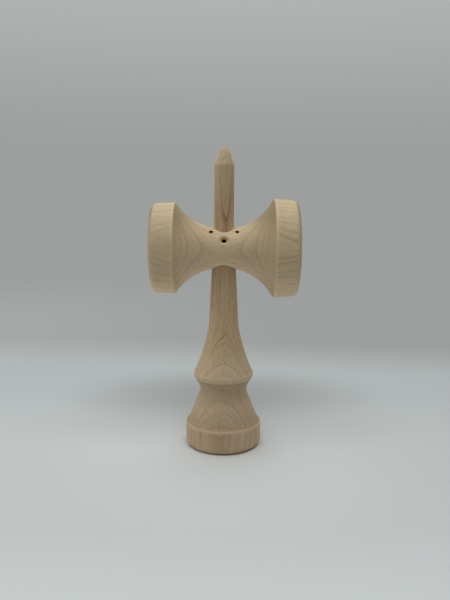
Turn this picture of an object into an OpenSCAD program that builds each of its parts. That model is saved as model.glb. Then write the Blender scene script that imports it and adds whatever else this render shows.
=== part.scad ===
// A wooden kendama without its ball: a turned handle, the ken, that stands on its base cup,
// and a turned crosspiece, the sarado, with a cup at each end, seated on the handle's taper.
// Frame: origin at the centre of the base, +Z up to the spike, +X to the big cup,
// -Y to the side with the string holes.

/* [Ken base] */
// Diameter of the band round the base cup
base_d = 43.3; // [40:0.1:50]
// Height of the base, up to the foot of the skirt
base_h = 14.7; // [13:0.1:20]
// Height of the sloping ledge on top of the band
ledge_h = 1.1; // [0.6:0.1:2]
// Rounding of the band's foot
foot_round = 2.2; // [0.5:0.1:3]
// Rounding of the band's top edge
band_round = 0.6; // [0.2:0.1:1]
// Diameter of the base cup's mouth
base_cup_d = 33.6; // [24:0.1:35]
// Depth of the base cup
base_cup_depth = 9; // [4:0.1:12]

/* [Ken body] */
// Diameter of the skirt where it stands on the ledge
skirt_d = 39.8; // [36:0.1:41]
// Height of the skirt, from the ledge to the middle of the waist
skirt_h = 19.05; // [15:0.05:25]
// Diameter at which the skirt and the collar's underside would meet in a sharp groove
waist_d = 25.4; // [20:0.1:28]
// Rounding of the waist between the skirt and the collar's underside
waist_round = 8; // [2:0.1:9]
// Height of the collar's underside, from the middle of the waist
cove_h = 6.95; // [5:0.05:10]
// Diameter of the collar
collar_d = 34; // [30:0.1:38]
// Height of the collar's edge
collar_h = 2.2; // [1.4:0.1:4]
// Rounding of the collar's two edges
collar_round = 0.45; // [0.2:0.05:1]
// Height of the flare that rises from the collar to the stem
flare_h = 28; // [22:0.1:36]
// Depth of the flare's hollow, against a straight cone
flare_hollow = 1.15; // [0.4:0.05:2]

/* [Ken stem and spike] */
// Diameter of the stem at its foot
stem_d = 16.8; // [15:0.1:18]
// Rounding between the flare and the stem
stem_round = 25; // [5:1:30]
// Height of the sarado's axis above the stem's foot
seat_h = 43.2; // [36:0.05:50]
// Length of taper that stands out above the sarado
taper_rest = 2.55; // [1:0.05:6]
// Diameter of the spike
spike_d = 10.9; // [10:0.1:12]
// Length of the straight spike
spike_h = 32.65; // [26:0.05:40]
// Height of the cone at the tip
tip_h = 5.7; // [4:0.1:7]
// Diameter where the tip's cone turns into the nose
nose_d = 6.7; // [6:0.1:8]
// Height of the nose
nose_h = 4.3; // [3.6:0.1:5]

/* [Sarado] */
// Diameter of the neck at its middle
neck_d = 21.4; // [20:0.1:24]
// Reach of the big cup's rim from the ken's axis
big_reach = 40.8; // [38:0.1:44]
// Width of the big cup's band, from rim to shoulder
big_band_w = 13.8; // [11:0.1:16]
// Diameter of the big cup's shoulder
big_d = 55.2; // [54:0.1:60]
// Diameter to which the big cup's band narrows at its rim
big_rim_d = 53; // [52.4:0.1:54]
// Diameter of the big cup's mouth
big_cup_d = 43; // [36:0.1:43.4]
// Depth of the big cup
big_cup_depth = 14; // [8:0.1:18]
// Reach of the small cup's rim from the ken's axis
small_reach = 40.05; // [38:0.05:44]
// Width of the small cup's band, from rim to shoulder
small_band_w = 13.15; // [11:0.05:16]
// Diameter of the small cup's shoulder
small_d = 50.8; // [50:0.1:54]
// Diameter to which the small cup's band narrows at its rim
small_rim_d = 49.4; // [48.4:0.1:50]
// Diameter of the small cup's mouth
small_cup_d = 39.4; // [32:0.1:40]
// Depth of the small cup
small_cup_depth = 12; // [8:0.1:16]
// Rounding of the outer edge of both rims
rim_round = 3.2; // [1:0.1:3.4]
// Rounding of the shoulders between the bands and the neck
shoulder_round = 0.6; // [0.1:0.1:1]
// Rounding of every cup's inner edge
mouth_round = 1; // [0.3:0.1:1.2]
// Radial gap between the stem's taper and the sarado's bore
seat_gap = 0.05; // [0.02:0.01:0.2]

/* [String holes] */
// Diameter of the middle string hole
string_hole_d = 2.4; // [1.8:0.1:2.8]
// Angle of the middle string hole above the sarado's axis
string_tilt = 30; // [20:1:40]
// Diameter of the middle hole's countersink
sink_d = 5.4; // [4:0.1:6]
// Diameter of the hole that takes the string through the stem
knot_hole_d = 3; // [2.9:0.1:4]
// Diameter of the two side string holes
side_hole_d = 1.8; // [1.4:0.1:2.6]
// Angle of the side holes from the front, round the ken
side_turn = 48.4; // [44:0.2:54]
// Angle of the side holes above the sarado's axis
side_tilt = 43.5; // [40:0.5:48]

/* [Hidden] */
$fn = 96;
wood = [0.87, 0.76, 0.61];

// Steps in each arc of an outline
arc_steps = 12;
// Share of the shorter run at a corner that its rounding may take
rounding_share = 0.9;
// How far a cut runs past the face it opens
overrun = 1;

// Heights on the ken, each stacked on the one below
waist_z = base_h + skirt_h;
collar_z = waist_z + cove_h;
flare_z = collar_z + collar_h;
stem_z = flare_z + flare_h;
seat_z = stem_z + seat_h;
spike_z = seat_z + neck_d / 2 + taper_rest;
tip_z = spike_z + spike_h;
nose_z = tip_z + tip_h;
top_z = nose_z + nose_h;

// Radius of the stem's taper at a height
function taper_r(z) = (stem_d + (spike_d - stem_d) * (z - stem_z) / (spike_z - stem_z)) / 2;

function unit(v) = v / norm(v);
function heading(v) = atan2(v[1], v[0]);

// Points on an arc round c with radius r, from angle a to angle b
function arc(c, r, a, b) =
    [for (i = [0 : arc_steps]) let (t = a + (b - a) * i / arc_steps) c + r * [cos(t), sin(t)]];

// Arc that rounds the corner q between the straight runs from p and to s
function corner(p, q, s, r) =
    let (
        u = unit(p - q),
        v = unit(s - q),
        half = acos(u * v) / 2,
        run = min(r / tan(half), rounding_share * min(norm(p - q), norm(s - q))),
        c = q + unit(u + v) * run / cos(half),
        a = heading(q + u * run - c),
        b = heading(q + v * run - c),
        turn = b - a - 360 * round((b - a) / 360)
    )
    arc(c, run * tan(half), a, a + turn);

// Arc from p to q that bulges by a given depth to the left of their line, or to its right if negative
function bow(p, q, depth) =
    let (
        half = norm(q - p) / 2,
        r = (half * half + depth * depth) / (2 * depth),
        u = unit(q - p),
        c = (p + q) / 2 + [-u[1], u[0]] * (depth - r),
        a = heading(p - c),
        b = heading(q - c)
    )
    arc(c, abs(r), a, b - 360 * round((b - a) / 360));

// Half outline of a cup, from the middle of its dish to the flat of its rim, with the rim at zero:
// an arc of the dish's sphere, then the rounding that touches both the sphere and the rim
function dish(mouth_d, depth) =
    let (
        sphere_r = (mouth_d * mouth_d / 4 + depth * depth) / (2 * depth),
        centre = sphere_r - depth,
        edge = [sqrt(pow(sphere_r + mouth_round, 2) - pow(mouth_round + centre, 2)), -mouth_round],
        meet = heading(edge - [0, centre])
    )
    concat(
        arc([0, centre], sphere_r, -90, meet),
        arc(edge, mouth_round, meet + 180, 90)
    );

function moved(points, along) = [for (p = points) p + [0, along]];
function mirrored(points) = [for (p = points) [p[0], -p[1]]];
function reversed(points) = [for (i = [len(points) - 1 : -1 : 0]) points[i]];

// Half outline of the ken, from the middle of the base cup round to the tip
function ken_outline() =
    let (
        inner_foot = [base_cup_d / 2, 0],
        foot = [base_d / 2, 0],
        band_edge = [base_d / 2, base_h - ledge_h],
        skirt_foot = [skirt_d / 2, base_h],
        waist = [waist_d / 2, waist_z],
        collar_low = [collar_d / 2, collar_z],
        collar_top = [collar_d / 2, flare_z],
        stem_foot = [stem_d / 2, stem_z],
        spike_foot = [spike_d / 2, spike_z],
        tip_foot = [spike_d / 2, tip_z],
        nose_foot = [nose_d / 2, nose_z],
        top = [0, top_z],
        nose_turn = heading(top - nose_foot) - heading(nose_foot - tip_foot),
        nose_bulge = -norm(top - nose_foot) / 2 * tan(nose_turn / 2),
        flare = bow(collar_top, stem_foot, flare_hollow),
        flare_start = flare[1],
        flare_end = flare[arc_steps - 1]
    )
    concat(
        mirrored(dish(base_cup_d, base_cup_depth)),
        corner(inner_foot, foot, band_edge, foot_round),
        corner(foot, band_edge, skirt_foot, band_round),
        [skirt_foot],
        corner(skirt_foot, waist, collar_low, waist_round),
        corner(waist, collar_low, collar_top, collar_round),
        corner(collar_low, collar_top, flare_start, collar_round),
        [for (i = [1 : arc_steps - 1]) flare[i]],
        corner(flare_end, stem_foot, spike_foot, stem_round),
        [spike_foot, tip_foot],
        bow(nose_foot, top, nose_bulge)
    );

// Half outline of one end of the sarado, from the middle of its cup to the middle of the neck:
// the neck is an arc that runs level at the middle and passes through the shoulder
function sarado_side(reach, band_w, shoulder_d, rim_d, cup_d, cup_depth) =
    let (
        shoulder_x = reach - band_w,
        rise = (shoulder_d - neck_d) / 2,
        hollow_r = (shoulder_x * shoulder_x + rise * rise) / (2 * rise),
        hollow = [neck_d / 2 + hollow_r, 0],
        shoulder = [shoulder_d / 2, shoulder_x],
        rim = [rim_d / 2, reach],
        shoulder_turn = heading(shoulder - hollow),
        trim = shoulder_round / hollow_r * 180 / PI,
        neckward = shoulder + band_w * [-sin(shoulder_turn), cos(shoulder_turn)]
    )
    concat(
        moved(dish(cup_d, cup_depth), reach),
        corner([cup_d / 2, reach], rim, shoulder, rim_round),
        corner(rim, shoulder, neckward, shoulder_round),
        arc(hollow, hollow_r, shoulder_turn + trim, 180)
    );

// Half outline of the sarado, from the middle of the big cup to the middle of the small cup
function sarado_outline() =
    let (
        big = sarado_side(big_reach, big_band_w, big_d, big_rim_d, big_cup_d, big_cup_depth),
        small = sarado_side(small_reach, small_band_w, small_d, small_rim_d, small_cup_d, small_cup_depth)
    )
    concat([for (i = [0 : len(big) - 2]) big[i]], reversed(mirrored(small)));

// Turns +Z to the line of a string hole through the sarado's middle
module string_line(turn, tilt) {
    translate([0, 0, seat_z])
        rotate([0, 0, turn])
            rotate([90 - tilt, 0, 0])
                children();
}

// The middle hole with its countersink, and the two side holes, all from the sarado's middle outwards
module string_holes() {
    sink_h = (sink_d - string_hole_d) / 2;
    string_line(0, string_tilt) {
        cylinder(d = string_hole_d, h = neck_d);
        translate([0, 0, neck_d / 2 - sink_h])
            cylinder(d1 = string_hole_d, d2 = sink_d + 2 * overrun, h = sink_h + overrun);
    }
    for (side = [-1, 1])
        string_line(side * side_turn, side_tilt)
            cylinder(d = side_hole_d, h = neck_d);
}

// The handle: base cup, skirt, collar, flare, tapered stem and spike, with the hole for the string's knot
module ken() {
    color(wood)
        difference() {
            rotate_extrude()
                polygon(ken_outline());
            string_line(0, string_tilt)
                cylinder(d = knot_hole_d, h = neck_d, center = true);
        }
}

// The tapered bore through the sarado's neck, which seats on the stem
module seat_bore() {
    low = seat_z - neck_d / 2 - overrun;
    high = seat_z + neck_d / 2 + overrun;
    translate([0, 0, low])
        cylinder(r1 = taper_r(low) + seat_gap, r2 = taper_r(high) + seat_gap, h = high - low);
}

// The crosspiece: two cups on a hollowed neck, with its bore and string holes
module sarado() {
    color(wood)
        difference() {
            translate([0, 0, seat_z])
                rotate([0, 90, 0])
                    rotate_extrude()
                        polygon(sarado_outline());
            seat_bore();
            string_holes();
        }
}

ken();
sarado();
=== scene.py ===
import math
import bpy
import numpy as np
from mathutils import Matrix, Vector


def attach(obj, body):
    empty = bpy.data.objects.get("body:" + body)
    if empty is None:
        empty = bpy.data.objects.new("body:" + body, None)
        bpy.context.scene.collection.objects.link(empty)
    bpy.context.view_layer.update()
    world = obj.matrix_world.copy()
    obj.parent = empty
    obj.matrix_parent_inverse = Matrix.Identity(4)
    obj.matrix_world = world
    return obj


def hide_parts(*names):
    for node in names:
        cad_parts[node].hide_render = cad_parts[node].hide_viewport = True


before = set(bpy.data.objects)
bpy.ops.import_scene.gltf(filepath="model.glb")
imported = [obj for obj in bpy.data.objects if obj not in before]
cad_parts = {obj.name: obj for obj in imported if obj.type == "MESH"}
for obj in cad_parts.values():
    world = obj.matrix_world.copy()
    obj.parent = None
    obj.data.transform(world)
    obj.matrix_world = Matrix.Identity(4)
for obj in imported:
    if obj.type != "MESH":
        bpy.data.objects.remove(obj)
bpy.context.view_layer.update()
mm = 0.001
print("frame loaded:", sorted(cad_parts))


# Profile helpers: an outline is rows of (radius, height) in mm

def arcPoints(centre, radius, start, end, count=24):
    # circle round the centre, from one angle to the other, in radians
    t = np.linspace(start, end, count)
    return np.asarray(centre) + radius * np.stack([np.cos(t), np.sin(t)], 1)


def heading(v):
    return math.atan2(v[1], v[0])


def unit(v):
    return v / np.linalg.norm(v)


def shortTurn(a, b):
    # from angle a to angle b by the shorter way round
    return b - a - 2 * math.pi * round((b - a) / (2 * math.pi))


def cornerArc(before, corner, after, radius, count=16):
    # arc that touches both straight runs at a corner
    before, corner, after = np.array(before), np.array(corner), np.array(after)
    u, v = unit(before - corner), unit(after - corner)
    half = math.acos(u @ v) / 2
    run = radius / math.tan(half)
    centre = corner + unit(u + v) * run / math.cos(half)
    a, b = heading(corner + u * run - centre), heading(corner + v * run - centre)
    return arcPoints(centre, radius, a, a + shortTurn(a, b), count)


def bowArc(first, last, depth, count=48):
    # arc between two points that bulges by depth to the left of their line, or to the right if negative
    first, last = np.array(first), np.array(last)
    half = np.linalg.norm(last - first) / 2
    radius = (half * half + depth * depth) / (2 * depth)
    u = unit(last - first)
    centre = (first + last) / 2 + np.array([-u[1], u[0]]) * (depth - radius)
    a, b = heading(first - centre), heading(last - centre)
    return arcPoints(centre, abs(radius), a, a + shortTurn(a, b), count)


def dishArc(mouthD, depth, edgeRound, bowlSteps=56, lipSteps=12):
    # a cup: arc of a sphere from its middle to its edge, then the rounding onto the flat rim at height 0
    sphereR = (mouthD ** 2 / 4 + depth ** 2) / (2 * depth)
    rise = sphereR - depth
    edge = np.array([math.sqrt((sphereR + edgeRound) ** 2 - (edgeRound + rise) ** 2), -edgeRound])
    meet = heading(edge - np.array([0, rise]))
    bowl = arcPoints([0, rise], sphereR, -math.pi / 2, meet, bowlSteps)
    lip = arcPoints(edge, edgeRound, meet + math.pi, math.pi / 2, lipSteps)
    return np.concatenate([bowl, lip])


def runLengths(points):
    return np.linalg.norm(np.diff(points, axis=0), axis=1)


def refine(points, step, tiny=1e-6):
    # more points along the outline, so that no run is longer than step, and none is tiny
    points = points[np.r_[True, runLengths(points) > tiny]]
    length = np.r_[0, np.cumsum(runLengths(points))]
    parts = np.maximum(np.ceil(np.diff(length) / step), 1).astype(int)
    first = np.repeat(np.cumsum(parts) - parts, parts)
    share = (np.arange(parts.sum()) - first) / np.repeat(parts, parts)
    at = np.r_[np.repeat(length[:-1], parts) + share * np.repeat(np.diff(length), parts), length[-1]]
    return np.stack([np.interp(at, length, points[:, 0]), np.interp(at, length, points[:, 1])], 1)


def turnedMesh(name, profile, turns, place, start=0.0):
    # surface of revolution (r cos t, r sin t, z) over the outline and the angle
    # both ends of the outline lie on the axis and become poles
    t = start + np.linspace(0, 2 * math.pi, turns, endpoint=False)
    r, z = profile[:, :1], profile[:, 1:]
    grid = np.stack([r * np.cos(t), r * np.sin(t), z + 0 * t], 2)
    points = np.concatenate([grid[:1, 0], grid[1:-1].reshape(-1, 3), grid[-1:, 0]]) * mm
    points = points @ np.array(place.to_3x3()).T + np.array(place.translation)
    ring = 1 + np.arange(len(profile) - 2)[:, None] * turns
    low, high = ring[:-1], ring[1:]
    here, there = np.arange(turns), np.roll(np.arange(turns), -1)
    quads = np.stack([low + here, low + there, high + there, high + here], 2).reshape(-1, 4)
    first = np.stack([0 * here, 1 + there, 1 + here], 1)
    last = np.stack([0 * here + len(points) - 1, ring[-1] + here, ring[-1] + there], 1)
    mesh = bpy.data.meshes.new(name)
    mesh.from_pydata(points.tolist(), [], quads.tolist() + first.tolist() + last.tolist())
    mesh.update()
    return mesh


def addObject(name, data):
    made = bpy.data.objects.new(name, data)
    bpy.context.scene.collection.objects.link(made)
    return made


def drill(piece, cutters):
    # each cutter is a closed turned mesh, cut out of the piece's own mesh
    for mesh in cutters:
        tool = addObject(mesh.name, mesh)
        cut = piece.modifiers.new("drill", "BOOLEAN")
        cut.operation, cut.solver, cut.object = "DIFFERENCE", "EXACT", tool
        done = bpy.data.meshes.new_from_object(piece.evaluated_get(bpy.context.evaluated_depsgraph_get()))
        piece.modifiers.clear()
        plain, piece.data = piece.data, done
        bpy.data.meshes.remove(plain)
        bpy.data.objects.remove(tool)
        bpy.data.meshes.remove(mesh)
    piece.data.name = piece.name


def readVectors(items, name):
    values = np.zeros(len(items) * 3)
    items.foreach_get(name, values)
    return values.reshape(-1, 3)


def markSurface(mesh, origin, axis, edges, width, holes, slack=0.01):
    # endGrain: squared share of the normal along the grain
    # facing: endGrain times the normal's share upwards, which places painted shade and painted light on the
    # slopes
    # edge: falls off with the distance to the turned edges
    # bored: 1 on faces within a hole's radius of its axis
    normal = readVectors(mesh.vertices, "normal")
    apart = readVectors(mesh.vertices, "co") / mm - origin
    height = apart @ axis
    radius = np.linalg.norm(apart - height[:, None] * axis, axis=1)
    gap = np.hypot(radius[:, None] - edges[:, 0], height[:, None] - edges[:, 1]).min(1)
    endGrain = (normal @ axis) ** 2
    marks = dict(endGrain=endGrain, facing=endGrain * normal[:, 2], edge=np.exp(-(gap / width) ** 2))
    for name, values in marks.items():
        mesh.attributes.new(name, "FLOAT", "POINT").data.foreach_set("value", values.astype(np.float32))
    middle = readVectors(mesh.polygons, "center") / mm
    bored = np.zeros(len(middle))
    for line, holeR in holes:
        apart = middle - np.array(line.translation) / mm
        way = np.array(line.to_3x3())[:, 2]
        reach = apart @ way
        within = np.linalg.norm(apart - reach[:, None] * way, axis=1) < holeR + slack
        bored = np.maximum(bored, within & (reach > 0))
    mesh.attributes.new("bored", "FLOAT", "FACE").data.foreach_set("value", bored.astype(np.float32))


def finishTurned(piece, node, material, creaseAngle=32):
    piece.data.shade_smooth()
    piece.data.set_sharp_from_angle(angle=math.radians(creaseAngle))
    piece.data.materials.clear()
    piece.data.materials.append(material)
    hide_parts(node)
    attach(piece, node)
    print(piece.name, "made:", len(piece.data.polygons), "faces")


# Shader wiring

class Wire:
    # a socket in a node tree: operators add Math nodes, node() adds any node
    def __init__(self, tree, socket=None):
        self.tree = tree
        self.socket = socket

    def node(self, kind, settings=None, sockets=None, out=0):
        made = self.tree.nodes.new(kind)
        for name, value in (settings or {}).items():
            if name == "stops":
                ramp = made.color_ramp
                while len(ramp.elements) < len(value):
                    ramp.elements.new(1.0)
                for element, (at, colour) in zip(ramp.elements, value):
                    element.position = at
                    element.color = colour
            else:
                setattr(made, name, value)
        for name, value in (sockets or {}).items():
            if isinstance(value, Wire):
                self.tree.links.new(value.socket, made.inputs[name])
            else:
                made.inputs[name].default_value = value
        if isinstance(out, tuple):
            return [Wire(self.tree, made.outputs[o]) for o in out]
        return Wire(self.tree, made.outputs[out] if made.outputs else None)

    def math(self, operation, *values):
        return self.node("ShaderNodeMath", {"operation": operation}, dict(enumerate(values)))

    def vector(self, operation, *values, out=0):
        return self.node("ShaderNodeVectorMath", {"operation": operation}, dict(enumerate(values)), out)

    def mix(self, factor, a, b, blend="MIX"):
        return self.node("ShaderNodeMix", {"data_type": "RGBA", "blend_type": blend}, {0: factor, 6: a, 7: b}, 2)

    def tint(self, factor, by):
        # this colour, multiplied by another one as far as the factor says
        return self.mix(factor, self, by, "MULTIPLY")

    def smooth(self, low, high):
        return self.node("ShaderNodeMapRange", {"interpolation_type": "SMOOTHSTEP"},
                         {"Value": self, "From Min": low, "From Max": high})

    def ramp(self, places, colours):
        # colours at places along this value
        first, last = places[0], places[-1]
        stops = [((at - first) / (last - first), colour) for at, colour in zip(places, colours)]
        return self.node("ShaderNodeValToRGB", {"stops": stops}, {0: (self - first) * (1 / (last - first))})

    def noise(self, stretch, detail=2.0, rough=0.5):
        # noise on this vector, stretched by that many waves per mm on each axis
        stretched = self.vector("MULTIPLY", self, stretch)
        return self.node("ShaderNodeTexNoise", {},
                         {"Vector": stretched, "Scale": 1.0, "Detail": detail, "Roughness": rough})

    def distance(self, at, scale):
        # how far this place is from a point, with each axis scaled
        return self.vector("LENGTH", self.vector("MULTIPLY", self.vector("SUBTRACT", self, at), scale), out=1)

    def __add__(self, other):
        return self.math("ADD", self, other)

    def __radd__(self, other):
        return self.math("ADD", other, self)

    def __sub__(self, other):
        return self.math("SUBTRACT", self, other)

    def __rsub__(self, other):
        return self.math("SUBTRACT", other, self)

    def __mul__(self, other):
        return self.math("MULTIPLY", self, other)

    def __rmul__(self, other):
        return self.math("MULTIPLY", other, self)

    def __pow__(self, other):
        return self.math("POWER", self, other)


def newTree(owner):
    owner.use_nodes = True
    owner.node_tree.nodes.clear()
    return Wire(owner.node_tree)


def rgb(r, g, b):
    return (r, g, b, 1.0)


def grey(level):
    return rgb(level, level, level)


# Wood: growth layers lie behind each other from the back to the front, and the turned surface cuts them
# into arches and eyes. Lengths are in mm, along the grain, across it or towards the front.
# lift: height of the wood's middle; noiseAt: where in the noise the piece lies
# bend: how far the layers rise with across, along, across squared and across times along
# pinch: middle, width and height of the ridge that makes the arches pointed, and where along the grain
#   it starts, is full, falls and is gone
# rings: where each layer ends, and how strong its line is
# calm: where along the grain lines start to change, have changed, start to change back and have done so,
#   and by how much they are fainter there, or stronger if negative
# flankShading: from where to where the slopes face up or down, and the tint that they get there: painted shade
# where they face up and painted light where they face down
# tonesAndShade: place along the grain, and its tint in red, green and blue; partly the wood's own tone, partly
# painted shade and light: darker in the ken's waist under the collar and on its stem below the sarado, lighter
# in the middle of the sarado's neck
# wearAndHighlight: the lighter colour of the rays, and of the turned edges, where it is partly wear and partly a
# painted highlight
kenWood = dict(
    along=2, across=0, lift=0.0, noiseAt=(21, 39, 51),
    bend=(-0.11, 0.037, 0.004, 0.0022), pinch=(1.1, 0.8, 0.3, 52, 62, 96, 118),
    rings=((-27, 0.3), (-23.5, 0.5), (-20.4, 0.35), (-17.2, 0.6), (-14.4, 0.3), (-11.6, 0.5),
           (-8.2, 0.4), (-5.0, 0.6), (-2.2, 0.35), (0.8, 0.4), (3.6, 0.35), (6.0, 0.4),
           (8.4, 0.3), (10.5, 0.6), (12.0, 0.95), (12.75, 0.4), (15.65, 0.4), (17.9, 0.2),
           (20.1, 0.3), (22.2, 0.3), (25.0, 0.4), (29.0, 0.3)),
    calm=((68, 76, 106, 126, 0.7), (122, 128, 138, 150, -0.9), (136, 150, 180, 190, 0.4)),
    pale=rgb(0.662, 0.514, 0.332), warm=rgb(0.587, 0.437, 0.272), wearAndHighlight=rgb(0.71, 0.566, 0.378),
    line=rgb(0.44, 0.31, 0.23), fibre=rgb(0.77, 0.72, 0.67), fleck=rgb(0.50, 0.42, 0.36),
    flankShading=(),
    tonesAndShade=((0, 0.90, 0.88, 0.90), (12, 0.92, 0.90, 0.92), (17, 0.86, 0.86, 0.88), (24, 0.98, 0.99, 1.02),
           (30, 0.93, 0.94, 0.96), (34, 0.82, 0.82, 0.83), (38, 0.76, 0.76, 0.76), (40.2, 0.76, 0.76, 0.77),
           (42.5, 1.05, 1.08, 1.10), (46, 1.12, 1.17, 1.21), (51, 1.10, 1.14, 1.165), (57, 0.995, 1.01, 0.96),
           (63, 0.995, 0.985, 0.925), (74, 0.945, 0.925, 0.855), (82, 0.88, 0.865, 0.795),
           (92, 0.86, 0.84, 0.77), (101, 0.82, 0.79, 0.715), (126, 1.08, 1.03, 0.98), (137, 0.95, 0.92, 0.87),
           (148, 1.0, 0.99, 0.98), (159, 1.06, 1.065, 1.06), (164, 1.08, 1.12, 1.17)),
)
saradoWood = dict(
    along=0, across=2, lift=114.1, noiseAt=(77, 143, 187),
    bend=(0.122, 0.041, 0.0034, -0.0005), pinch=(0.0, 2.5, 0.25, -60, -50, 50, 60),
    rings=((-31, 0.3), (-27.6, 0.4), (-24, 0.3), (-20.6, 0.45), (-17, 0.3), (-13.2, 0.35),
           (-9.4, 0.3), (-5.6, 0.25), (-2.2, 0.35), (1.2, 0.25), (4.8, 0.35), (8.8, 0.3),
           (13.1, 0.4), (17.2, 0.5), (20.0, 0.3), (22.2, 0.5), (23.1, 0.35), (24.8, 0.5),
           (26.1, 0.6), (27.6, 0.8), (28.2, 0.8), (31.0, 0.4), (35.0, 0.4)),
    calm=((-12, -4, 4, 12, 0.5),),
    pale=rgb(0.722, 0.586, 0.378), warm=rgb(0.648, 0.507, 0.308), wearAndHighlight=rgb(0.758, 0.617, 0.412),
    line=rgb(0.50, 0.39, 0.30), fibre=rgb(0.85, 0.82, 0.79), fleck=rgb(0.54, 0.46, 0.40),
    flankShading=((0.11, 0.33, rgb(0.715, 0.70, 0.68)), (-0.05, -0.25, rgb(1.10, 1.13, 1.18))),
    tonesAndShade=((-41, 0.99, 0.985, 0.98), (-28, 0.99, 0.985, 0.975), (-21, 1.05, 1.065, 1.11),
           (-15, 1.05, 1.06, 1.10), (-8, 1.09, 1.09, 1.11), (0, 1.12, 1.12, 1.14), (8, 1.08, 1.09, 1.12),
           (15, 1.0, 1.015, 1.04), (21, 0.98, 0.99, 1.0), (28, 0.985, 0.988, 0.97)),
)

# waves per mm across, towards the front and along the grain, then detail and roughness
woodNoise = dict(
    drift=((1 / 34, 1 / 34, 1 / 110), 1.0), waver=((1 / 5, 1 / 5, 1 / 30), 2.0),
    patch=((1 / 9, 1 / 9, 1 / 30), 2.0), cloud=((1 / 14, 1 / 14, 1 / 50), 3.0),
    fibre=((1.1, 1.1, 0.07), 4.0, 0.62), hair=((3.4, 3.4, 0.14), 2.0),
    pores=((1.7, 1.7, 0.2), 1.0), rays=((2.2, 2.2, 0.35), 1.0),
)
# between which noise values each mark fades in
woodSpans = dict(patch=(0.3, 0.62), cloud=(0.3, 0.7), fibre=(0.38, 0.74), hair=(0.42, 0.72),
                 pores=(0.64, 0.75), rays=(0.62, 0.74))
# how far drift and waver move the layers in mm, and how much the other marks do to the colour
woodShares = dict(drift=0.7, waver=0.5, patch=0.45, cloud=0.6, layer=0.4, fibre=0.6, hair=0.4,
                  rays=0.25, pores=0.5, wearAndHighlight=0.55)
woodFinish = dict(
    # hole: near black inside the holes, painted shade over the darker walls of drilled holes
    lineSharp=9, endTone=rgb(0.80, 0.75, 0.70), hole=rgb(0.06, 0.035, 0.018), specular=0.32,
    rough=0.46, roughness=dict(fibre=0.16, endGrain=0.08, edge=-0.06, late=-0.05),
    height=dict(fibre=0.6, hair=0.25, pores=-0.8, late=-0.3), bump=0.35, bumpDepth=0.05 * mm,
)


def woodMaterial(name, look):
    material = bpy.data.materials.new(name)
    w = newTree(material)
    place = w.node("ShaderNodeTexCoord", out=3)
    place = w.vector("MULTIPLY_ADD", place, (1 / mm,) * 3, (0, 0, -look["lift"]))
    xyz = w.node("ShaderNodeSeparateXYZ", {}, {0: place}, (0, 1, 2))
    along, across, front = xyz[look["along"]], xyz[look["across"]], 0 - xyz[1]
    grain = w.node("ShaderNodeCombineXYZ", {}, {0: across, 1: front, 2: along})
    grain = grain.vector("ADD", grain, look["noiseAt"])
    noise = {kind: grain.noise(*waves) for kind, waves in woodNoise.items()}
    mask = {kind: noise[kind].smooth(*span) for kind, span in woodSpans.items()}
    share = woodShares

    # growth layers: bent sheets that face the front, made a little uneven by slow noise
    rise, climb, arch, twist = look["bend"]
    middle, width, ridge, low, high, fall, gone = look["pinch"]
    layer = front + across * (across * arch + along * twist + rise) + along * climb
    for kind in ("drift", "waver"):
        layer = layer + (noise[kind] - 0.5) * share[kind]
    aside = (across - middle) * (1 / width)
    ridge = ridge * along.smooth(low, high) * (1 - along.smooth(fall, gone))
    layer = layer + ridge * w.math("EXPONENT", 0 - aside * aside)

    # each layer darkens towards its end, where its line is
    places, darks = zip(*look["rings"])
    gaps = len(places) - 1
    tooth = w.math("FRACT", layer.ramp(places, [grey(n / gaps) for n in range(len(places))]) * gaps)
    late = tooth ** woodFinish["lineSharp"] * layer.ramp(places, [grey(dark) for dark in darks])
    late = late * (1 - share["patch"] + share["patch"] * mask["patch"])
    for start, full, fade, end, calming in look["calm"]:
        late = late * (1 - calming * along.smooth(start, full) * (1 - along.smooth(fade, end)))

    endGrain, facing, edge, bored = [w.node("ShaderNodeAttribute", {"attribute_name": mark}, {}, 2)
                                     for mark in ("endGrain", "facing", "edge", "bored")]
    tonesAndShade = along.ramp([at for at, *tone in look["tonesAndShade"]], [rgb(*tone) for at, *tone in look["tonesAndShade"]])
    colour = w.mix(mask["cloud"] * share["cloud"] + tooth * share["layer"], look["pale"], look["warm"])
    colour = colour.tint(mask["fibre"] * share["fibre"] + mask["hair"] * share["hair"], look["fibre"])
    colour = colour.tint(late, look["line"])
    colour = w.mix(mask["rays"] * share["rays"], colour, look["wearAndHighlight"])
    # tints along the grain: partly the wood's own tone, partly painted shade and light
    colour = colour.tint(1.0, tonesAndShade)
    colour = colour.tint(mask["pores"] * share["pores"], look["fleck"])
    colour = colour.tint(endGrain, woodFinish["endTone"])
    # painted shade on the slopes where they face up, painted light where they face down
    for level, steep, tone in look["flankShading"]:
        colour = colour.tint(facing.smooth(level, steep), tone)
    # the turned edges are lighter: partly wear, partly a painted highlight
    colour = w.mix(edge * share["wearAndHighlight"], colour, look["wearAndHighlight"])
    # inside the holes: painted shade, near black, over the darker walls of drilled holes
    colour = w.mix(bored, colour, woodFinish["hole"])

    marks = dict(fibre=noise["fibre"], hair=noise["hair"], pores=mask["pores"], late=late,
                 endGrain=endGrain, edge=edge)
    rough = sum((amount * marks[kind] for kind, amount in woodFinish["roughness"].items()), woodFinish["rough"])
    height = sum(amount * marks[kind] for kind, amount in woodFinish["height"].items())
    bump = w.node("ShaderNodeBump", {}, {"Strength": woodFinish["bump"], "Distance": woodFinish["bumpDepth"],
                                         "Height": height})
    shader = w.node("ShaderNodeBsdfPrincipled", {}, {"Base Color": colour, "Roughness": rough, "Normal": bump,
                                                     "Specular IOR Level": woodFinish["specular"]})
    w.node("ShaderNodeOutputMaterial", {}, {"Surface": shader})
    return material


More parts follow.
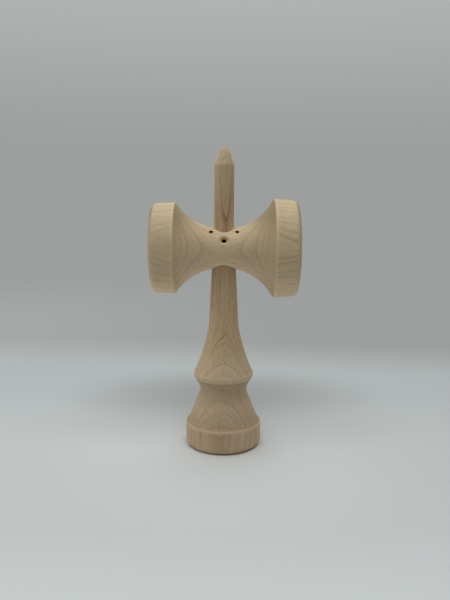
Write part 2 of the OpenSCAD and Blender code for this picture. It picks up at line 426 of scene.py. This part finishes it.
# Ken: sizes in mm, heights stacked from the base
# flareSkip, flareRest: points at the flare's ends that give way to the roundings beside it
ken = dict(
    baseD=43.3, baseH=14.7, bevelH=1.1, footRound=3.2, bandRound=0.6,
    baseCupD=33.6, baseCupDepth=9, mouthRound=1,
    skirtD=39.8, skirtH=19.05, skirtRound=0.8, waistD=25.4, waistRound=8, waistSteps=32, coveH=6.95,
    collarD=34, collarH=2.2, collarRound=0.45, flareH=28, flareHollow=1.15, flareSkip=2, flareRest=4,
    stemD=16.8, stemRound=25, seatH=43.2, taperRest=2.35,
    spikeD=10.9, spikeH=32.65, tipH=5.7, tipRound=1.2, noseD=6.7, noseH=4.3, noseSteps=24,
    knotHoleD=3, holeTurns=48, turns=200, step=0.7, edgeWidth=0.8,
)

# Sarado: sizes in mm along its own axis, with the big cup on the plus side
# sideMouth: where the big cup's side hole opens, from the sarado's middle; spare: how far cutters stand out
sarado = dict(
    neckD=21.8, neckSteps=64,
    bigReach=40.8, bigBandW=13.2, bigD=55.1, bigRimD=53, bigCupD=43, bigCupDepth=14,
    smallReach=40.05, smallBandW=12.85, smallD=50.8, smallRimD=49.4, smallCupD=39.4, smallCupDepth=12,
    rimRound=3.2, rimSteps=24, shoulderRound=0.6, mouthRound=1, seatGap=0.05, spare=1, boreTurns=160,
    stringHoleD=2.4, stringTilt=30, sinkD=5.4, stringTurns=64,
    sideHoleD=1.8, sideTurn=20, sideTilt=18, sideMouth=(7.2, -6.73, 9.62), sideDepth=9, sideTurns=48,
    turns=220, step=0.6, edgeWidth=0.8,
)

waistZ = ken["baseH"] + ken["skirtH"]
collarZ = waistZ + ken["coveH"]
flareZ = collarZ + ken["collarH"]
stemZ = flareZ + ken["flareH"]
seatZ = stemZ + ken["seatH"]
spikeZ = seatZ + sarado["neckD"] / 2 + ken["taperRest"]
tipZ = spikeZ + ken["spikeH"]
noseZ = tipZ + ken["tipH"]
topZ = noseZ + ken["noseH"]


def taperR(z):
    # the stem's radius falls in a straight line from its foot to the spike
    share = (z - stemZ) / (spikeZ - stemZ)
    return (ken["stemD"] + (ken["spikeD"] - ken["stemD"]) * share) / 2


def stringLine(turn, tilt, mouth=(0, 0, 0), depth=0):
    # place of a string hole: its +Z runs out, and it starts that deep below its mouth
    # the mouth is given from the sarado's middle
    spin = Matrix.Rotation(math.radians(turn), 4, "Z") @ Matrix.Rotation(math.radians(90 - tilt), 4, "X")
    start = (Vector(mouth) + Vector((0, 0, seatZ))) * mm
    return Matrix.Translation(start) @ spin @ Matrix.Translation((0, 0, -depth * mm))


def sideLine(way):
    x, y, z = sarado["sideMouth"]
    return stringLine(way * sarado["sideTurn"], sarado["sideTilt"], (way * x, y, z), sarado["sideDepth"])


def cutter(name, profile, turns, place, skew=0.0137):
    # its corners are turned a little, so that none meets a corner of the piece
    return turnedMesh(name, profile, turns, place, skew)


def rodProfile(radius, start, end):
    return np.array([[0, start], [radius, start], [radius, end], [0, end]], float)


def kenProfile():
    # straight runs joined by touching arcs, from the middle of the base cup round to the tip
    dish = dishArc(ken["baseCupD"], ken["baseCupDepth"], ken["mouthRound"]) * [1, -1]
    foot, bandEdge = [ken["baseD"] / 2, 0], [ken["baseD"] / 2, ken["baseH"] - ken["bevelH"]]
    skirtFoot, waist = [ken["skirtD"] / 2, ken["baseH"]], [ken["waistD"] / 2, waistZ]
    collarLow, collarTop = [ken["collarD"] / 2, collarZ], [ken["collarD"] / 2, flareZ]
    stemFoot, spikeFoot = [ken["stemD"] / 2, stemZ], [ken["spikeD"] / 2, spikeZ]
    tipFoot, noseFoot, top = [ken["spikeD"] / 2, tipZ], [ken["noseD"] / 2, noseZ], [0, topZ]
    flare = bowArc(collarTop, stemFoot, ken["flareHollow"])
    skip, rest = ken["flareSkip"], ken["flareRest"]
    nose = np.subtract(top, noseFoot)
    noseTurn = heading(nose) - heading(np.subtract(noseFoot, tipFoot))
    noseBow = -np.linalg.norm(nose) / 2 * math.tan(noseTurn / 2)
    return refine(np.concatenate([
        dish,
        cornerArc([ken["baseCupD"] / 2, 0], foot, bandEdge, ken["footRound"]),
        cornerArc(foot, bandEdge, skirtFoot, ken["bandRound"]),
        cornerArc(bandEdge, skirtFoot, waist, ken["skirtRound"]),
        cornerArc(skirtFoot, waist, collarLow, ken["waistRound"], ken["waistSteps"]),
        cornerArc(waist, collarLow, collarTop, ken["collarRound"]),
        cornerArc(collarLow, collarTop, flare[rest], ken["collarRound"]),
        flare[skip:-rest],
        cornerArc(flare[-rest - 1], stemFoot, spikeFoot, ken["stemRound"]),
        [spikeFoot],
        cornerArc(spikeFoot, tipFoot, noseFoot, ken["tipRound"]),
        bowArc(noseFoot, top, noseBow, ken["noseSteps"]),
    ]), ken["step"])


def saradoSide(reach, bandW, shoulderD, rimD, cupD, cupDepth):
    # one end of the sarado: cup, rim, band and shoulder, then the neck's arc, level at the middle
    neckR, shoulderX = sarado["neckD"] / 2, reach - bandW
    rise = shoulderD / 2 - neckR
    hollowR = (shoulderX ** 2 + rise ** 2) / (2 * rise)
    hollow = np.array([neckR + hollowR, 0])
    shoulder, rim = np.array([shoulderD / 2, shoulderX]), np.array([rimD / 2, reach])
    turn = heading(shoulder - hollow)
    neckward = shoulder + bandW * np.array([-math.sin(turn), math.cos(turn)])
    return np.concatenate([
        dishArc(cupD, cupDepth, sarado["mouthRound"]) + [0, reach],
        cornerArc([cupD / 2, reach], rim, shoulder, sarado["rimRound"], sarado["rimSteps"]),
        cornerArc(rim, shoulder, neckward, sarado["shoulderRound"]),
        arcPoints(hollow, hollowR, turn + sarado["shoulderRound"] / hollowR, math.pi, sarado["neckSteps"]),
    ])


def saradoProfile():
    parts = ("Reach", "BandW", "D", "RimD", "CupD", "CupDepth")
    big, small = [saradoSide(*[sarado[size + part] for part in parts]) for size in ("big", "small")]
    return refine(np.concatenate([small * [1, -1], big[-2::-1]]), sarado["step"])


def makeKen():
    piece = addObject("ken_turned", turnedMesh("ken", kenProfile(), ken["turns"], Matrix.Identity(4)))
    reach, holeR = sarado["neckD"] / 2, ken["knotHoleD"] / 2
    line = stringLine(0, sarado["stringTilt"])
    drill(piece, [cutter("knot_hole", rodProfile(holeR, -reach, reach), ken["holeTurns"], line)])
    baseR, collarR = ken["baseD"] / 2, ken["collarD"] / 2
    edges = np.array([[baseR, 0], [baseR, ken["baseH"] - ken["bevelH"]], [ken["baseCupD"] / 2, 0],
                      [collarR, collarZ], [collarR, flareZ], [0, topZ]])
    markSurface(piece.data, np.zeros(3), np.array([0, 0, 1.0]), edges, ken["edgeWidth"],
                [(line, holeR), (line @ Matrix.Rotation(math.pi, 4, "X"), holeR)])
    finishTurned(piece, "ken", woodMaterial("ken_maple", kenWood))


def makeSarado():
    lying = Matrix.Translation((0, 0, seatZ * mm)) @ Matrix.Rotation(math.pi / 2, 4, "Y")
    piece = addObject("sarado_turned", turnedMesh("sarado", saradoProfile(), sarado["turns"], lying))
    neckR, gap, spare = sarado["neckD"] / 2, sarado["seatGap"], sarado["spare"]
    holeR, sinkR, sideR = [sarado[size] / 2 for size in ("stringHoleD", "sinkD", "sideHoleD")]
    low, high = seatZ - neckR - spare, seatZ + neckR + spare
    bore = np.array([[0, low], [taperR(low) + gap, low], [taperR(high) + gap, high], [0, high]])
    sunk = np.array([[0, 0], [holeR, 0], [holeR, neckR - sinkR + holeR],
                     [sinkR + spare, neckR + spare], [0, neckR + spare]])
    side = rodProfile(sideR, 0, 2 * neckR)
    middleLine = stringLine(0, sarado["stringTilt"])
    smallLine, bigLine = sideLine(-1), sideLine(1)
    drill(piece, [
        cutter("seat_bore", bore, sarado["boreTurns"], Matrix.Identity(4)),
        cutter("string_hole", sunk, sarado["stringTurns"], middleLine),
        cutter("side_hole_small", side, sarado["sideTurns"], smallLine),
        cutter("side_hole_big", side, sarado["sideTurns"], bigLine),
    ])
    bigX, smallX = sarado["bigReach"], -sarado["smallReach"]
    edges = np.array([[sarado["bigRimD"] / 2, bigX], [sarado["bigD"] / 2, bigX - sarado["bigBandW"]],
                      [sarado["bigCupD"] / 2, bigX], [sarado["smallRimD"] / 2, smallX],
                      [sarado["smallD"] / 2, smallX + sarado["smallBandW"]], [sarado["smallCupD"] / 2, smallX]])
    markSurface(piece.data, np.array([0, 0, seatZ]), np.array([1.0, 0, 0]), edges, sarado["edgeWidth"],
                [(middleLine, holeR), (smallLine, sideR), (bigLine, sideR)])
    finishTurned(piece, "sarado", woodMaterial("sarado_maple", saradoWood))


makeKen()
makeSarado()


# Studio: places in metres
lampAim = (0, 0, 0.09)
lamps = dict(
    over=dict(at=(0.0, 0.0, 0.80), size=0.90, power=2.90),
    front=dict(at=(0.0, -0.35, 0.75), size=0.60, power=1.65),
    left=dict(at=(-0.75, 0.0, 0.30), size=0.60, power=0.95),
)

# Floor: its tone changes to the back, close to the ken and at the front, with a soft shade behind the ken:
# painted shade to the back, painted light close to the ken and at the front, and a painted shadow behind the
# ken.
# It ends at the back in a soft sloping line, and further out all round, and the backdrop's colour follows, with
# painted light on its left side.
# bounce and glow are what the floor and the backdrop give as light.
# Each span says from where to where a change goes, and each scale how far every axis counts.
floor = dict(
    radius=4.0, hubR=0.02, rings=40, spokes=96, rough=0.9, specular=0.1,
    tone=rgb(0.652, 0.688, 0.69), backPaintedShade=rgb(0.598, 0.641, 0.642), backSpan=(-0.01, 0.09),
    nearPaintedLight=rgb(0.748, 0.783, 0.778), nearAt=(0, 0, 0), nearScale=(0.9, 1, 1), nearSpan=(0.03, 0.13),
    nearBack=(-0.02, 0.03), frontPaintedLight=rgb(0.70, 0.74, 0.742), frontSpan=(-0.15, -0.09),
    shade=grey(0.76), shadeAt=(0, 0.088, 0), shadeScale=(0.9, 1.7, 1), shadeSpan=(0.02, 0.12),
    bounce=rgb(0.95, 0.96, 0.96), bounceFront=grey(0.45), bounceSpan=(-0.2, -0.05),
    fadeAt=(-0.05, 0, 0), fadeScale=(0.45, 1, 1), fadeSpan=(0.25, 0.45), edgeSlope=0.09, edgeSpan=(0.14, 0.26),
    farTone=rgb(0.334, 0.344, 0.337), leftPaintedLight=rgb(0.383, 0.394, 0.388), leftSpan=(-0.30, 0.12),
    leftFade=(0.3, 0.7), glowFront=grey(0.12), glowBack=grey(0.0), glowSpan=(-0.35, 0.35),
)
sky = dict(
    topTone=rgb(0.465, 0.475, 0.47), topSpan=(0.03, 0.36),
    wallFront=grey(0.0), wallBack=grey(0.45), wallSpan=(-0.7, 0.7),
)
view = dict(at=(0.000711, -0.34697, 0.14679), down=10.14, roll=0.0051, lens=37.223, sensor=36, clip=(0.01, 20))


def addLamp(name, lamp):
    light = bpy.data.lights.new(name, "AREA")
    light.size, light.energy = lamp["size"], lamp["power"]
    made = addObject(name, light)
    made.location = lamp["at"]
    made.rotation_euler = (Vector(lampAim) - Vector(lamp["at"])).to_track_quat("-Z", "Y").to_euler()


def showsBackdrop(w):
    # 1 where the camera, a reflection or a see-through surface looks at it, 0 for light that falls on things
    camera, glossy, through = w.node("ShaderNodeLightPath", {}, {}, (0, 3, 6))
    return w.math("MAXIMUM", w.math("MAXIMUM", camera, glossy), through)


def floorMaterial():
    material = bpy.data.materials.new("floor_paper")
    w = newTree(material)
    place = w.node("ShaderNodeTexCoord", out=3)
    aside, depth = w.node("ShaderNodeSeparateXYZ", {}, {0: place}, (0, 1))
    apart = place.distance(floor["fadeAt"], floor["fadeScale"])
    near = 1 - place.distance(floor["nearAt"], floor["nearScale"]).smooth(*floor["nearSpan"])
    shade = 1 - place.distance(floor["shadeAt"], floor["shadeScale"]).smooth(*floor["shadeSpan"])
    # painted shade towards the back, painted light close to the ken and at the front, and a painted shadow
    # behind the ken
    tone = w.mix(depth.smooth(*floor["backSpan"]), floor["tone"], floor["backPaintedShade"])
    tone = w.mix(near * (1 - depth.smooth(*floor["nearBack"])), tone, floor["nearPaintedLight"])
    tone = w.mix(1 - depth.smooth(*floor["frontSpan"]), tone, floor["frontPaintedLight"])
    tone = tone.tint(shade, floor["shade"])
    bounce = w.mix(depth.smooth(*floor["bounceSpan"]), floor["bounceFront"], floor["bounce"])
    paper = w.node("ShaderNodeBsdfPrincipled", {}, {"Base Color": w.mix(showsBackdrop(w), bounce, tone),
                                                    "Roughness": floor["rough"],
                                                    "Specular IOR Level": floor["specular"]})
    # the backdrop is lighter on the left: painted light
    left = (1 - aside.smooth(*floor["leftSpan"])) * (1 - apart.smooth(*floor["leftFade"]))
    backdrop = w.node("ShaderNodeEmission", {}, {"Color": w.mix(left, floor["farTone"], floor["leftPaintedLight"])})
    glow = w.mix(depth.smooth(*floor["glowSpan"]), floor["glowFront"], floor["glowBack"])
    glow = w.node("ShaderNodeEmission", {}, {"Color": glow})
    far = w.node("ShaderNodeMixShader", {}, {0: showsBackdrop(w), 1: glow, 2: backdrop})
    edge = (depth + floor["edgeSlope"] * aside).smooth(*floor["edgeSpan"])
    fade = w.math("MAXIMUM", apart.smooth(*floor["fadeSpan"]), edge)
    surface = w.node("ShaderNodeMixShader", {}, {0: fade, 1: paper, 2: far})
    w.node("ShaderNodeOutputMaterial", {}, {"Surface": surface})
    return material


def makeFloor():
    # flat disc (r cos t, r sin t, 0), finer towards its middle
    rings, spokes = floor["rings"], floor["spokes"]
    t = np.linspace(0, 2 * math.pi, spokes, endpoint=False)
    r = np.geomspace(floor["hubR"], floor["radius"], rings)[:, None]
    points = np.stack([r * np.cos(t), r * np.sin(t), 0 * r + 0 * t], 2).reshape(-1, 3)
    inner, here = np.arange(rings - 1)[:, None] * spokes, np.arange(spokes)
    outer, there = inner + spokes, np.roll(here, -1)
    quads = np.stack([inner + here, outer + here, outer + there, inner + there], 2).reshape(-1, 4)
    mesh = bpy.data.meshes.new("floor")
    mesh.from_pydata(points.tolist(), [], quads.tolist() + [here.tolist()])
    mesh.update()
    mesh.materials.append(floorMaterial())
    addObject("floor", mesh)


def makeSky():
    world = bpy.data.worlds.new("studio")
    bpy.context.scene.world = world
    w = newTree(world)
    direction = w.node("ShaderNodeTexCoord", out=0)
    back, up = w.node("ShaderNodeSeparateXYZ", {}, {0: direction}, (1, 2))
    seen = w.mix(up.smooth(*sky["topSpan"]), floor["farTone"], sky["topTone"])
    walls = w.mix(back.smooth(*sky["wallSpan"]), sky["wallFront"], sky["wallBack"])
    light = w.node("ShaderNodeBackground", {}, {"Color": walls})
    backdrop = w.node("ShaderNodeBackground", {}, {"Color": seen})
    surface = w.node("ShaderNodeMixShader", {}, {0: showsBackdrop(w), 1: light, 2: backdrop})
    w.node("ShaderNodeOutputWorld", {}, {"Surface": surface})


def makeCamera():
    data = bpy.data.cameras.new("camera")
    data.lens, data.sensor_width = view["lens"], view["sensor"]
    data.clip_start, data.clip_end = view["clip"]
    made = addObject("camera", data)
    tilt = Matrix.Rotation(math.radians(90 - view["down"]), 4, "X") @ Matrix.Rotation(view["roll"], 4, "Z")
    made.matrix_world = Matrix.Translation(view["at"]) @ tilt
    bpy.context.scene.camera = made


for lampName, lampLook in lamps.items():
    addLamp(lampName, lampLook)
makeFloor()
makeSky()
makeCamera()
bpy.context.scene.view_settings.view_transform = "Standard"
print("studio set up")
